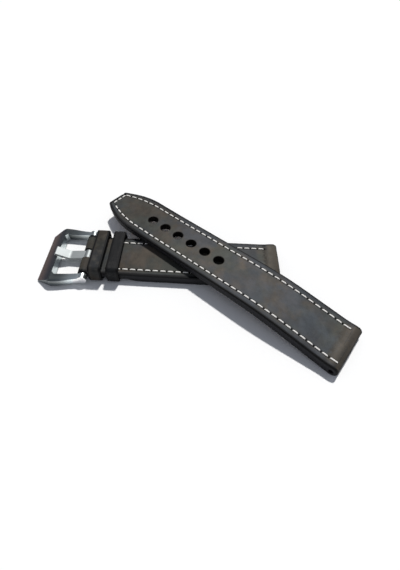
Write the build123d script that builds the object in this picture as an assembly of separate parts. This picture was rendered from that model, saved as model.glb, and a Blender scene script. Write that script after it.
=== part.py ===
from build123d import *
import os
from math import acos, asin, atan2, cos, degrees, hypot, radians, tan

os.makedirs("parts", exist_ok=True)

# Leather watch strap in two pieces, as it lies on a table. The short piece carries the buckle and
# two keepers and lies flat along X. The long piece has the holes and lies slantwise over it.
# All sizes are in millimetres, +Z is up and the table is at Z = 0. While the pieces are built,
# X = 0 and Y = 0 lie under the middle of the buckle bar. "Near" is towards -Y, "far" towards +Y.

# Leather, the same on both pieces
leather = 1.15                # outer leather
lining = 1.1                  # lining, as thick as the flaps that are turned under
lug_width = 22.0              # across each lug end
lug_bore_r = 1.0              # bore for a watch case's spring bar
edge_round = 0.5              # rounding along the edges
flap_reach = 9.0              # turned-under flap, from its bar's axis
solid_reach = 3.1             # leather without filler, from its bar's axis
lie_gap = 0.15                # between stitches and what lies on them
overrun = 2.0                 # how far every cut runs past what it cuts

# Stitching
pitch = 3.15
stitch_length = 2.4
stitch_width = 0.72
stitch_height = 0.22
stitch_taper = 35             # degrees, sides of a stitch
row_inset = 3.0               # row to edge
short_near_first = 10.6       # first stitch of each short row, from the buckle bar
short_far_first = 11.8
short_row_back = 3.95         # end of the short rows, from the lug bore
long_near_first = 1.85        # first stitch of each long row, from the lug bore
long_far_first = 3.95
lug_stitch_back = 1.4         # the small stitch beside the lug fold, back from the first one
lug_stitch_length = 0.9
row_turn_back = 20.3          # where the long rows begin to close in, from the tail's end
row_turn_r = 47.0
end_row_inset = 1.4           # row across the tail, from its end
end_stitch_length = 2.0
end_pitch = 2.63
end_count = 3

# Short piece, from the buckle bar's axis
short_reach = 80.05           # to the lug bore's axis
bar_width = 20.7              # across the bar end
bar_height = 2.9              # bar's axis above the table
bar_hole_r = 1.1              # leather fold round the spring bar
waist = 3.0                   # thickness under the keepers
waist_end = 17.5              # where the waist ends
padding_start = 22.0          # where the full thickness begins
ramp_bend_r = 10.0
fold_blend_r = 3.0            # between the bar fold and the flat leather
slot_width = 4.9              # slot for the tongue
slot_end = 1.3                # slot's end beyond the bar's axis

# Keepers
keeper_wall = 1.1
keeper_inside_width = 21.5
keeper_inside_height = 5.7
keeper_corner_r = 2.0         # outer corners of the loop
keeper_round = 0.25           # its edges
fixed_start = 2.66
fixed_width = 5.24
floating_start = 9.95
floating_width = 5.0
closing_count = 3             # stitches that close each loop, underneath
closing_length = 1.6
closing_pitch = 2.3
closing_recess = 0.3
closing_gap = 0.1

# Long piece. A reach is taken from its lug bore's axis, and a back distance from the tail's end.
long_bore_x = 101.94          # lug bore's middle, from the middle of the buckle bar
long_bore_y = -38.96
long_heading = 142.53         # degrees, from lug end to tail
long_reach = 119.55           # to the tail's end
shoulder_back = 11.0          # where the edges turn in towards the tail
shoulder_width = 21.5
shoulder_r = 30.0
tail_width = 10.4             # across the tail's end
tail_corner_r = 0.8
slope_reach = 32.5            # where the slope from the table meets the level stretch
slope_r = 150.0
tail_lift_back = 29.7         # where the tail begins to lift
tail_lift = 0.45              # tail's end above the level stretch
tail_lift_share = 0.4         # share of the lifting stretch that its bend takes
slope_thickness = 3.85        # where the slope meets the level stretch
lift_thickness = 3.05         # where the tail begins to lift
tail_thickness = 2.85
hole_r = 2.29
hole_back = 23.25             # hole nearest the tail's end
hole_pitch = 7.47
hole_count = 6

# Spring bar of the buckle, from its middle
bar_r = 0.9
bar_half = 10.5
bar_bore_r = 0.65
bar_lip = 0.1                 # turned-in lip that holds each tip
plunger_r = 0.6
plunger_length = 3.2
pin_r = 0.4
pin_reach = 11.7              # end of each pin
press = 1.1                   # travel of each tip
coil_r = 0.55
coil_wire = 0.2
coil_gap = 0.05

# Buckle frame, from the bar's axis towards the front, before it tips onto the table
eye_disc_r = 1.9              # rounded rear end of each arm
window_rear_width = 21.5
window_front_width = 22.6
window_reach = 12.3
window_corner = 1.0
frame_rear_width = 26.6
frame_front_width = 30.2
frame_nose_width = 25.0
frame_reach = 18.8
corner_reach = 12.8           # where the outer corners are cut
flank_swell_rear = 5.0        # shape of the flanks between rear and corner
flank_swell_front = 7.0
sole_depth = 1.35             # underside below the bar's axis
arm_top = 1.75                # arms above the bar's axis
arm_rise_start = 4.0
crest_height = 2.3            # front bar's inner edge above the bar's axis
crest_width = 0.6
rim_height = 0.5              # front edge above the underside
frame_bevel = 0.6
frame_soft_edge = 0.25        # small bevels round the window
pin_hole_r = 0.45
pin_hole_depth = 1.1

# Tongue, in the same directions
tongue_width = 4.2
tongue_thickness = 1.2
tongue_height = 0.45          # middle of its flat stretch above the bar's axis
tongue_reach = 13.1
tongue_rise = 29              # degrees, bent end
tongue_bend_r = 3.0
tongue_eye_r = 1.7
tongue_bore_r = 0.95
tongue_rest_gap = 0.03        # above the frame's crest
tongue_pocket_gap = 0.1       # between its eye and the leather
tongue_tip_round = 0.35

# Sizes that follow from these
lug_fold_r = lug_bore_r + leather
bar_fold_r = bar_hole_r + leather
short_thickness = 2 * lug_fold_r
waist_floor = short_thickness - waist
level = short_thickness + stitch_height + lie_gap
short_end = short_reach + lug_fold_r
shoulder_reach = long_reach - shoulder_back
row_turn_start = long_reach - row_turn_back
tail_lift_reach = long_reach - tail_lift_back
tail_lift_bend = tail_lift_share * tail_lift_back
side_reach = lug_width / 2 + overrun
arm_middle = (window_rear_width + frame_rear_width) / 4    # middle of an arm, across the frame


def upright(outline, half_width):
    """Solid of an outline in the X-Z plane, as wide either side of the middle."""
    return extrude(Plane.XZ * outline, amount=half_width, both=True)


def slab(x_from, x_to):
    """Block between two places along the strap, larger than it in every other way."""
    size = x_to - x_from
    return Pos((x_from + x_to) / 2, 0, 0) * Box(size, 2 * side_reach, 2 * size + 2 * side_reach)


def cross_bar(radius, length, x, z):
    """Round bar across the strap."""
    return Pos(x, 0, z) * Rot(X=90) * Cylinder(radius, length)


def band(upper, lower):
    """Face between two lines that run the same way."""
    ends = Line(upper @ 0, lower @ 0) + Line(upper @ 1, lower @ 1)
    return make_face(upper.edges() + lower.edges() + ends.edges())


def touch(centre, radius, outside, side):
    """Where a line from an outside point touches a circle, above it (1) or below it (-1)."""
    away = Vector(outside) - Vector(centre)
    turn = degrees(acos(radius / away.length))
    return Vector(centre) + away.normalized().rotate(Axis.Z, side * turn) * radius


def save(name, *solids):
    """Write one node in its place round the middle of the whole strap."""
    placed = [home * solid for solid in solids]
    export_step(placed[0] if len(placed) == 1 else Compound(placed), f"parts/{name}.step")


# Stitches

def stitch(length):
    """One stitch, flat underneath, along X."""
    return extrude(SlotOverall(length, stitch_width), amount=stitch_height, taper=stitch_taper)


def row_count(first, row_end):
    """Whole stitches from the middle of the first one to the row's end."""
    return 1 + int((row_end - stitch_length / 2 - first) / pitch)


def stitches(spots, length=stitch_length):
    """The same stitch at each spot."""
    one = stitch(length).solid()
    return [spot * one for spot in spots]


# Short piece

def short_half_width(x):
    """Half the short piece's width at a distance from the bar."""
    share = (x + bar_fold_r) / (short_end + bar_fold_r)
    return (bar_width + (lug_width - bar_width) * share) / 2


def short_underside():
    """Underside from the bar past the lug bore, with its ramp."""
    corners = [(0, waist_floor), (waist_end, waist_floor), (padding_start, 0), (short_reach, 0)]
    return FilletPolyline(corners, radius=ramp_bend_r)


def short_blank():
    """Short piece in one: folded ends, rounded edges, slot, bar hole and lug bore."""
    top = Line((0, short_thickness), (short_reach, short_thickness))
    lug = Pos(short_reach, lug_fold_r) * Circle(lug_fold_r)
    side = band(top, short_underside()) + lug + Pos(0, bar_height) * Circle(bar_fold_r)
    inner = [v for v in side.vertices() if 0 < v.X < bar_fold_r]
    side = fillet(inner, radius=fold_blend_r)
    rear = short_half_width(-bar_fold_r)
    front = short_half_width(short_end)
    plan = Polyline(
        (-bar_fold_r, -rear), (short_end, -front), (short_end, front), (-bar_fold_r, rear), close=True
    )
    blank = upright(side, side_reach) & Pos(0, 0, -overrun) * extrude(
        make_face(plan), amount=short_thickness + bar_fold_r + 2 * overrun
    )
    blank = fillet(long_edges(blank), radius=edge_round)
    pocket_r = tongue_eye_r + tongue_pocket_gap
    slot = Pos((slot_end - bar_fold_r - overrun) / 2, 0, bar_height) * Box(
        slot_end + bar_fold_r + overrun, slot_width, 2 * bar_fold_r + overrun
    )
    return (
        blank
        - slot
        - cross_bar(pocket_r, slot_width, 0, bar_height)
        - cross_bar(bar_hole_r, 2 * side_reach, 0, bar_height)
        - cross_bar(lug_bore_r, 2 * side_reach, short_reach, lug_fold_r)
    )


def long_edges(blank):
    """Edges where a blank's two upright sides meet its top, folds and underside."""
    sides = [f for f in blank.faces() if abs(f.normal_at().Y) > abs(f.normal_at().X) + abs(f.normal_at().Z)]
    return ShapeList(e for f in sides for e in f.edges())


def short_layers():
    """Outer leather, lining and filler of the short piece."""
    blank = short_blank()
    lining_top = Pos(0, lining) * short_underside()
    below = Line((0, -overrun), (short_reach, -overrun))
    above = Line((0, short_thickness - leather), (short_reach, short_thickness - leather))
    filler_zone = upright(band(above, lining_top), side_reach)
    lining_zone = upright(band(lining_top, below), side_reach)
    filler = blank & slab(solid_reach, short_reach - solid_reach) & filler_zone
    lining_piece = blank & slab(flap_reach, short_reach - flap_reach) & lining_zone
    return blank - filler - lining_piece, lining_piece, filler


def short_row(side, first):
    """Stitches of the near (-1) or far (1) row."""
    count = row_count(first, short_reach - short_row_back)
    row_turn = degrees(atan2(lug_width - bar_width, 2 * (short_end + bar_fold_r)))
    spots = []
    for n in range(count):
        x = first + n * pitch
        y = side * (short_half_width(x) - row_inset)
        spots.append(Pos(x, y, short_thickness) * Rot(Z=side * row_turn))
    return stitches(spots)


# Keepers

def keeper(x_from, width, inside_floor):
    """Leather loop round the strap, with recesses for its closing stitches underneath."""
    outer_height = keeper_inside_height + 2 * keeper_wall
    outer_width = keeper_inside_width + 2 * keeper_wall
    ring = RectangleRounded(outer_width, outer_height, keeper_corner_r) - RectangleRounded(
        keeper_inside_width, keeper_inside_height, keeper_corner_r - keeper_wall
    )
    middle = inside_floor + keeper_inside_height / 2
    loop = extrude(Plane.YZ * ring, amount=width)
    rims = loop.faces().filter_by(Axis.X)
    loop = fillet(ShapeList(e for f in rims for e in f.outer_wire().edges()), radius=keeper_round)
    loop = Pos(x_from, 0, middle) * loop
    floor = inside_floor - keeper_wall
    recess = extrude(
        SlotOverall(closing_length + 2 * closing_gap, stitch_width + 2 * closing_gap),
        amount=closing_recess + overrun,
    )
    spots = [
        Pos(x_from + width / 2, (n - (closing_count - 1) / 2) * closing_pitch, floor + closing_recess)
        * Rot(X=180, Z=90)
        for n in range(closing_count)
    ]
    for spot in spots:
        loop -= spot * recess
    return loop, stitches(spots, closing_length)


# Long piece

def long_path(start, heights):
    """Line along the long piece in side view, from its lug end to past its tail."""
    run_on = Vector(overrun, tail_lift * overrun / tail_lift_back)
    slope_end = Vector(slope_reach, level + heights[0])
    lift_start = Vector(tail_lift_reach, level + heights[1])
    tail = Vector(long_reach, level + tail_lift + heights[2]) + run_on
    turn = (tail - lift_start).get_angle(lift_start - slope_end)
    lift_r = tail_lift_bend / tan(radians(turn / 2))
    return FilletPolyline(start, slope_end, lift_start, tail, radius=[slope_r, lift_r])


def long_underside():
    """Underside of the long piece, from its lug fold."""
    start = touch((0, lug_fold_r), lug_fold_r, (slope_reach, level), -1)
    return long_path(start, (0, 0, 0))


def long_top():
    """Top of the long piece, from its lug fold."""
    heights = (slope_thickness, lift_thickness, tail_thickness)
    start = touch((0, lug_fold_r), lug_fold_r, (slope_reach, level + slope_thickness), 1)
    return long_path(start, heights)


def on_top(top, reach, y, heading):
    """Place on the long piece's top: reach is measured along the leather from the lug bore."""
    along = top.wire()
    spot = along.position_at(reach, position_mode=PositionMode.LENGTH)
    way = along.tangent_at(reach, position_mode=PositionMode.LENGTH)
    slope = degrees(atan2(way.Y, way.X))
    return Pos(spot.X, y, spot.Y) * Rot(Y=-slope) * Rot(Z=heading)


def long_plan():
    """Long piece seen from above, with the tail's shoulders rounded."""
    ends = [
        (-lug_fold_r, lug_width / 2),
        (shoulder_reach, shoulder_width / 2),
        (long_reach, tail_width / 2),
        (long_reach, 0),
    ]
    far = FilletPolyline(ends, radius=[shoulder_r, tail_corner_r])
    near = mirror(far, about=Plane.XZ)
    lug = Line(far @ 0, near @ 0)
    return make_face(far.edges() + near.edges() + lug.edges())


def long_blank():
    """Long piece in one: lug fold, rounded edges, bore and holes."""
    top = long_top()
    underside = long_underside()
    fold = ThreePointArc(top @ 0, (-lug_fold_r, lug_fold_r), underside @ 0)
    end = Line(top @ 1, underside @ 1)
    side = make_face(top.edges() + underside.edges() + fold.edges() + end.edges())
    height = level + slope_thickness + overrun
    blank = upright(side, side_reach) & Pos(0, 0, -overrun) * extrude(
        long_plan(), amount=height + 2 * overrun
    )
    blank = fillet(long_edges(blank), radius=edge_round)
    for n in range(hole_count):
        spot = on_top(top, long_reach - hole_back - n * hole_pitch, 0, 0)
        blank -= spot * Cylinder(hole_r, 2 * slope_thickness + 2 * overrun)
    return blank - cross_bar(lug_bore_r, 2 * side_reach, 0, lug_fold_r)


def long_layers():
    """Outer leather, lining and filler of the long piece."""
    blank = long_blank()
    lining_top = Pos(0, lining) * long_underside()
    leather_floor = Pos(0, -leather) * long_top()
    below = Pos(0, -overrun) * long_underside()
    filler_zone = upright(band(leather_floor, lining_top), side_reach)
    lining_zone = upright(band(lining_top, below), side_reach)
    filler = blank & slab(solid_reach, long_reach + overrun) & filler_zone
    lining_piece = blank & slab(flap_reach, long_reach + overrun) & lining_zone
    return blank - filler - lining_piece, lining_piece, filler


def long_row(side, first):
    """Stitches of the row at local +y (1) or -y (-1), with the small one beside the lug fold."""
    narrowing = (lug_width - shoulder_width) / 2 / (shoulder_reach + lug_fold_r)
    lug_half = lug_width / 2 - row_inset
    straight = Line((0, lug_half), (row_turn_start, lug_half - narrowing * row_turn_start))
    sweep_angle = degrees(asin((long_reach - end_row_inset - row_turn_start) / row_turn_r))
    turn = JernArc(straight @ 1, straight % 1, row_turn_r, -sweep_angle)
    row = Wire([straight.edge(), turn.edge()])
    top = long_top()

    def spot(reach):
        place = row.position_at(reach, position_mode=PositionMode.LENGTH)
        way = row.tangent_at(reach, position_mode=PositionMode.LENGTH)
        return on_top(top, place.X, side * place.Y, side * degrees(atan2(way.Y, way.X)))

    small = stitches([spot(first - lug_stitch_back)], lug_stitch_length)
    count = row_count(first, row.length)
    return small + stitches([spot(first + n * pitch) for n in range(count)])


def tail_row():
    """Stitches across the tail's end."""
    top = long_top()
    spots = [
        on_top(top, long_reach - end_row_inset, (n - (end_count - 1) / 2) * end_pitch, 90)
        for n in range(end_count)
    ]
    return stitches(spots, end_stitch_length)


# Buckle

def frame_plan():
    """Frame seen from above, its front towards -X, with its window."""
    flank = Bezier(
        (eye_disc_r, frame_rear_width / 2),
        (-flank_swell_rear, frame_rear_width / 2),
        (-flank_swell_front, frame_front_width / 2),
        (-corner_reach, frame_front_width / 2),
    )
    corner = Line(flank @ 1, (-frame_reach, frame_nose_width / 2))
    far = flank + corner
    near = mirror(far, about=Plane.XZ)
    nose = Line((-frame_reach, frame_nose_width / 2), (-frame_reach, -frame_nose_width / 2))
    rear = Line(flank @ 0, (eye_disc_r, -frame_rear_width / 2))
    outline = make_face(far.edges() + near.edges() + nose.edges() + rear.edges())
    window = make_face(
        Polyline(
            (eye_disc_r + overrun, window_rear_width / 2),
            (-window_reach + window_corner, window_front_width / 2),
            (-window_reach, window_front_width / 2 - window_corner),
            (-window_reach, -window_front_width / 2 + window_corner),
            (-window_reach + window_corner, -window_front_width / 2),
            (eye_disc_r + overrun, -window_rear_width / 2),
            close=True,
        )
    )
    return outline - window


def frame_side():
    """Frame seen from the side: rounded rear, arm that rises to the crest, sloping front bar."""
    rise = TangentArc((-arm_rise_start, arm_top), (-window_reach, crest_height), tangent=(-1, 0))
    outline = [
        Line((0, -sole_depth), (0, arm_top)),
        Line((0, arm_top), rise @ 0),
        rise,
        Polyline(
            rise @ 1,
            (-window_reach - crest_width, crest_height),
            (-frame_reach, rim_height - sole_depth),
            (-frame_reach, -sole_depth),
            (0, -sole_depth),
        ),
    ]
    return make_face([edge for line in outline for edge in line.edges()]) + Circle(eye_disc_r)


def arm_edges(frame, nearest, farthest):
    """Top edges along both arms, between two distances from the middle."""
    return [
        edge
        for edge in frame.edges()
        if nearest < abs(edge.center().Y) < farthest
        and edge.center().Z > arm_top - frame_soft_edge
        and edge.center().X < -eye_disc_r / 2
        and abs((edge @ 0).X - (edge @ 1).X) > frame_soft_edge / 10
    ]


def buckle_frame():
    """Frame with bevelled arms and a blind hole for each of the spring bar's tips."""
    half = frame_front_width / 2 + overrun
    tall = crest_height + sole_depth + 2 * eye_disc_r + overrun
    frame = upright(frame_side(), half) & extrude(frame_plan(), amount=tall, both=True)
    frame = chamfer(arm_edges(frame, arm_middle, half), length=frame_bevel)
    inner = arm_edges(frame, window_rear_width / 2 + frame_soft_edge / 2, window_front_width / 2)
    frame = chamfer(inner, length=frame_soft_edge)
    hole_end = window_rear_width / 2 + pin_hole_depth
    return frame - cross_bar(pin_hole_r, 2 * hole_end, 0, 0)


def tongue():
    """Flat tongue, rolled round the bar and bent up onto the frame's crest."""
    half = tongue_thickness / 2
    slope = radians(tongue_rise)
    climb = crest_height + tongue_rest_gap + half / cos(slope) - tongue_height
    bend = window_reach - climb / tan(slope)
    tip_height = tongue_height + (tongue_reach - bend) * tan(slope)
    middle = FilletPolyline(
        (0, tongue_height), (-bend, tongue_height), (-tongue_reach, tip_height), radius=tongue_bend_r
    )
    side = trace(middle, tongue_thickness) + Circle(tongue_eye_r) - Circle(tongue_bore_r)
    blade = upright(side, tongue_width / 2)
    tip = blade.faces().sort_by(Axis.X)[0]
    return fillet(tip.edges(), radius=tongue_tip_round)


# Spring bar

def bar_tube():
    """Tube whose ends are turned in to hold the tips."""
    tube = cross_bar(bar_r, 2 * bar_half, 0, 0)
    tube -= cross_bar(bar_bore_r, 2 * (bar_half - bar_lip), 0, 0)
    return tube - cross_bar(pin_hole_r, 2 * bar_half + overrun, 0, 0)


def bar_tip(side):
    """Sprung tip: plunger inside the tube and pin in the frame."""
    shoulder = bar_half - bar_lip
    plunger = Pos(0, side * (shoulder - plunger_length / 2), 0) * cross_bar(plunger_r, plunger_length, 0, 0)
    pin_length = pin_reach - shoulder + plunger_length / 2
    pin = Pos(0, side * (pin_reach - pin_length / 2), 0) * cross_bar(pin_r, pin_length, 0, 0)
    return plunger + pin


def bar_coil():
    """Coil spring between the tips, as a sleeve as long as the coil is with both tips pressed."""
    half = bar_half - bar_lip - plunger_length - press - coil_gap
    return cross_bar(coil_r, 2 * half, 0, 0) - cross_bar(coil_r - coil_wire, 2 * half + overrun, 0, 0)


# Assembly

on_bar = Pos(0, 0, bar_height)
rest_tilt = degrees(asin(bar_height / hypot(frame_reach, sole_depth)) - atan2(sole_depth, frame_reach))
tipped = on_bar * Rot(Y=-rest_tilt)
slanted = Pos(long_bore_x, long_bore_y, 0) * Rot(Z=long_heading)    # turns its +y to the near side

short_outer, short_lining, short_filler = short_layers()
fixed_loop, fixed_closing = keeper(fixed_start, fixed_width, waist_floor)
floating_loop, floating_closing = keeper(floating_start, floating_width, keeper_wall)
long_outer, long_lining, long_filler = [slanted * layer for layer in long_layers()]
frame_solid = tipped * buckle_frame()

extent = Compound([frame_solid, short_outer, fixed_loop, long_outer]).bounding_box()
home = Pos(-extent.center().X, -extent.center().Y, 0)

save("short_outer_leather", short_outer)
save("short_lining_leather", short_lining)
save("short_filler", short_filler)
save("short_near_stitching", *short_row(-1, short_near_first))
save("short_far_stitching", *short_row(1, short_far_first))
save("fixed_keeper", fixed_loop)
save("fixed_keeper_stitches", *fixed_closing)
save("floating_keeper", floating_loop)
save("floating_keeper_stitches", *floating_closing)
save("buckle_frame", frame_solid)
save("buckle_tongue", tipped * tongue())
save("spring_bar_tube", on_bar * bar_tube())
save("spring_bar_tip_near", on_bar * bar_tip(-1))
save("spring_bar_tip_far", on_bar * bar_tip(1))
save("spring_bar_coil", on_bar * bar_coil())
save("long_outer_leather", long_outer)
save("long_lining_leather", long_lining)
save("long_filler", long_filler)
save("long_near_stitching", *[slanted * s for s in long_row(1, long_near_first)])
save("long_far_stitching", *[slanted * s for s in long_row(-1, long_far_first)])
save("long_tail_stitching", *[slanted * s for s in tail_row()])
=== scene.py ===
"""Looks of the leather watch strap: leather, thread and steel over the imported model."""

from math import acos, asin, atan2, cos, pi, radians, sin, sqrt, tan

import bmesh
import bpy
import numpy as np
from mathutils import Euler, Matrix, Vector


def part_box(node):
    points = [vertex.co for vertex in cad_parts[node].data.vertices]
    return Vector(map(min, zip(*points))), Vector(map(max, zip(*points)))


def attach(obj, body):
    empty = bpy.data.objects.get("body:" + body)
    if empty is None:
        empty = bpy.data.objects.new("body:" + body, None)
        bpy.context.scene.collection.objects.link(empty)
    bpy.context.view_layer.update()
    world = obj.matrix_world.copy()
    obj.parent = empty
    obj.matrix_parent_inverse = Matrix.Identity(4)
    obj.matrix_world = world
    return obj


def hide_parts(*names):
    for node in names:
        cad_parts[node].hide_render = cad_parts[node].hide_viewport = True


bl_info = {
    "name": "Leather watch strap",
    "version": (1, 0, 0),
    "blender": (4, 5, 0),
    "location": "3D View > Sidebar > Strap",
    "description": "Builds the leather, thread and steel of a two-piece watch strap",
    "category": "Add Mesh",
}

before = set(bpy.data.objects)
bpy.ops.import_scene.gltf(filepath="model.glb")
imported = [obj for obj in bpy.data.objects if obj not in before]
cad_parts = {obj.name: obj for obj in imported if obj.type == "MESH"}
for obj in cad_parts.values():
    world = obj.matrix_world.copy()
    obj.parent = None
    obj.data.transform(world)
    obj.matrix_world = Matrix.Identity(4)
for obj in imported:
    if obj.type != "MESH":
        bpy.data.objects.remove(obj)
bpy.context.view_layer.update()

# Meshes are worked out in millimetres and placed in metres
MM = 0.001
low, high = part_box("spring_bar_tube")
BAR = np.array((low + high) / 2) / MM           # middle of the buckle's bar
LONG_BORE = np.array([101.94, -38.96, 0.0])     # long piece's lug bore, from under the bar
LONG_HEADING = radians(142.53)                  # from its lug end to its tail
FAR = 9.0                                       # stored where a hole, a row or an edge is far away

# Long piece's drape
LEVEL = 4.67                # underside of its level stretch, above the table
SLOPE_END = 32.5            # where its slope from the table meets the level stretch
SLOPE_BEND = 150.0          # radius of the bend there
LIFT_BACK = 29.7            # where the tail begins to lift, from its end
LIFT = 0.45                 # tail's end above the level stretch
LIFT_BEND_SHARE = 0.4       # share of the lifting stretch that its bend takes
THICKNESS = (3.85, 3.05, 2.85)      # at the slope's end, where the tail lifts, and at its end
RUN_ON = 2.0                # how far both lines go on past the tail's end
SHOULDER_BACK = 11.0        # where the edges turn in towards the tail
PLAN_BENDS = (30.0, 1.7)    # radii at the shoulder and at the tail's corner
LUG_RISE = 0.5              # how far the leather over a lug bore stands up
LUG_RISE_REACH = 2.8
RISE_TURN = 2.4             # turn round the fold, in radians, over which it comes down again

# Short piece
WAIST = 3.0                 # thickness under the keepers
RAMP_BEND = 10.0
FOLD_BEND = 3.0             # between the bar fold and the flat leather
POCKET = 1.8                # hollow round the tongue's eye, from the bar's axis

# Rows: places are counted in stitches from the first one
LONG_ROW = {"near_first": 1.85, "far_first": 3.95, "count": 37, "end": 36.9}
SHORT_ROW = {"near_first": 10.6, "far_first": 11.8, "count": 21, "end": 20.8}
ROW_START = -0.8
ROW_TURN_BACK = 20.3        # where the long rows begin to close in, from the tail's end
ROW_BEND = 47.0
LUG_STITCH_BACK = 1.4       # the small stitch beside the long lug fold, back from the first one
LUG_STITCH = 1.0
TAIL_ROW = 1.4              # row across the tail, from its end
TAIL_PITCH = 2.63
TAIL_STITCH = 2.1
TAIL_HALF = 4.1             # half the length of that row
PIT = (0.42, 0.36)          # radii of the pit at a needle hole, along and across the row
FURROW, FURROW_SHARE = 0.75, 0.30               # its half width, and its depth over the pit's
LINING_FURROW = (0.14, 0.5)                     # depth and half width, besides the row's own
LINING_GAP = 0.02           # between the lining and the leather over it
HOLE_DENT = (0.10, 0.35)    # depth and width of the dent round a punched hole
CLOSING_PITCH = 2.3         # stitches under the keepers
CLOSING_STITCH = 1.7
CLOSING_FURROW = (0.38, 0.45, 3.6)              # depth, half width and half length of their furrow
UNDER_SINK = 0.40           # how deep the underside threads lie

# Keepers: start from the bar, underside above the table, brightness, share of blue, seed, body
KEEPERS = {
    "fixed_keeper": (2.66, 0.2, 0.36, 0.0, 0.8, "short_strap"),
    "floating_keeper": (9.95, 0.0, 0.145, 1.0, 2.9, "floating_keeper"),
}

# Wear and painted shade: start, end and level of the fading from the lug bore on; strength of the dark
# line beside the lug fold, partly wear and partly painted shade, and of the painted shade band beyond
# it; and the painted shade on that fold and beside the bar
SHORT_WEAR_AND_SHADE = {"fade": (14, 42, 0.68), "shaded_crease": 0.60, "lug": 0.34, "bar": 0.30}
LONG_WEAR_AND_SHADE = {"fade": (62, 106, 0.60), "shaded_crease": 0.30, "lug": 0.45, "bar": 0.0}

# Cuts of the meshes
CUTS = 24                   # along and across the cell round each punched hole
HOLE_COUNT = 6
HOLE_SHARE = 10 / 24        # part of a cell's half side that its hole takes
HOLE_COLUMNS = (CUTS // 2, CUTS * 5 // 6)       # middle and outer columns of each half
SLOT_CUTS, ROUND_CUTS = 8, 7
SLOT_COLUMNS = (SLOT_CUTS, 22)
LUG_TURNS, BAR_TURNS = 26, 44
CONTOUR_STEP = 0.32         # from one row of points to the next along the short piece
LUG_STRETCH, BAR_STRETCH = 2.0, 2.2             # beside a bore, where a shell's spine goes round it
WALL_STEPS = np.array([0, 0.12, 0.5, 1.0])      # from a face's outline in to the spine
FLIPPED = slice(None, None, -1)

# Stage
SENSOR, FOCAL_PIXELS, VIEW_PIXELS = 36.0, 335.83, 570.0
VIEW_SPOT = np.array([0.045750, -0.096000, 0.109560])       # from the bar, in metres
VIEW_TURN = (37.1446, -2.5104, 1.5610)          # in degrees
LAMP_HEADING = (-0.181, -0.593, -1.0)
FLOOR_REACH, FLOOR_LEVEL = 3000, -0.02
WHITE = (1.0, 1.0, 1.0)


def size(name, default, description):
    return bpy.props.FloatProperty(
        name=name, description=description, default=default * MM, unit="LENGTH", subtype="DISTANCE"
    )


def tint(name, default, description):
    return bpy.props.FloatVectorProperty(
        name=name, description=description, default=default, size=3, min=0, max=1, subtype="COLOR"
    )


def share(name, default, description, most=1.0):
    return bpy.props.FloatProperty(name=name, description=description, default=default, min=0, max=most)


class StrapSizes(bpy.types.PropertyGroup):
    lining: size("Lining", 1.1, "Thickness of the lining")
    edge_round: size("Edge rounding", 0.5, "Rounding along the edges of the leather")
    flap_reach: size("Flap", 9.0, "Turned-under flap, from its bar's axis")
    lug_width: size("Lug width", 22.0, "Width across each lug end")
    lug_bore: size("Lug bore", 1.0, "Radius of each lug bore")
    lug_fold: size("Lug fold", 2.15, "Radius of the leather round each lug bore")
    short_reach: size("Short piece", 80.05, "From the bar to the lug bore")
    bar_width: size("Bar end width", 20.7, "Width of the short piece at the bar")
    bar_hole: size("Bar hole", 1.1, "Radius of the leather round the bar")
    bar_fold: size("Bar fold", 2.25, "Radius outside the leather round the bar")
    waist_end: size("Waist", 17.5, "Where the thin stretch under the keepers ends")
    padding_start: size("Padding", 22.0, "Where the short piece has its full thickness")
    slot_width: size("Tongue slot", 4.9, "Width of the slot for the tongue")
    slot_end: size("Slot end", 1.3, "End of the slot beyond the bar's axis")
    long_reach: size("Long piece", 119.55, "From its lug bore to its tail's end")
    shoulder_width: size("Shoulder width", 21.5, "Width where the tail starts to narrow")
    tail_width: size("Tail width", 10.4, "Width across the tail's end")
    hole_r: size("Hole radius", 2.29, "Radius of the punched holes")
    hole_back: size("First hole", 23.25, "From the tail's end to the nearest hole")
    hole_pitch: size("Hole spacing", 7.47, "From one hole to the next")


class ThreadSizes(bpy.types.PropertyGroup):
    pitch: size("Stitch spacing", 3.15, "From one stitch to the next")
    length: size("Stitch length", 2.5, "Visible length of a stitch")
    thickness: size("Thread", 0.60, "Width of the thread")
    inset: size("Row inset", 3.0, "From the leather's edge to the row")
    dent: size("Stitch dent", 0.3, "Depth of the dent at each needle hole")


class KeeperSizes(bpy.types.PropertyGroup):
    wall: size("Keeper wall", 1.1, "Thickness of the keepers' leather")
    inside_width: size("Inside width", 21.5, "Inside width of the keepers")
    inside_height: size("Inside height", 5.7, "Inside height of the keepers")
    corner: size("Corner", 2.0, "Rounding of the loops' outer corners")
    fixed_keeper: size("Fixed keeper", 5.24, "Width of the fixed keeper")
    floating_keeper: size("Floating keeper", 5.0, "Width of the floating keeper")


class StrapColours(bpy.types.PropertyGroup):
    brown: tint("Warm leather", (0.108, 0.090, 0.072), "Warm patches of the leather")
    green: tint("Green-grey leather", (0.082, 0.086, 0.076), "Greenish patches")
    blue: tint("Blue-grey leather", (0.068, 0.079, 0.097), "Bluish patches")
    wear: tint("Worn folds", (0.114, 0.098, 0.078), "Pulled-up colour at the folds")
    edge: tint("Edge paint", (0.012, 0.012, 0.014), "Painted edges")
    lining: tint("Lining", (0.10, 0.072, 0.050), "Lining leather")
    raw: tint("Cut leather", (0.012, 0.010, 0.009), "Cut leather inside the holes")
    thread: tint("Thread", (0.90, 0.88, 0.84), "Sewing thread")
    roughness: share("Leather roughness", 0.62, "Roughness of the leather's surface")


class SteelColours(bpy.types.PropertyGroup):
    satin: tint("Satin steel", (0.215, 0.235, 0.237), "Frame of the buckle")
    # Painted reflection: the frame's front face is painted dark, brown at its foot and nearly black at its
    # top
    front_low: tint("Front, low", (0.080, 0.058, 0.056), "Foot of the frame's burnished front")
    front_high: tint("Front, high", (0.022, 0.023, 0.030), "Top of the frame's burnished front")
    polished: tint("Polished steel", (0.34, 0.36, 0.365), "Tongue of the buckle")
    bar: tint("Bar steel", (0.22, 0.22, 0.23), "Spring bar")


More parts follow.
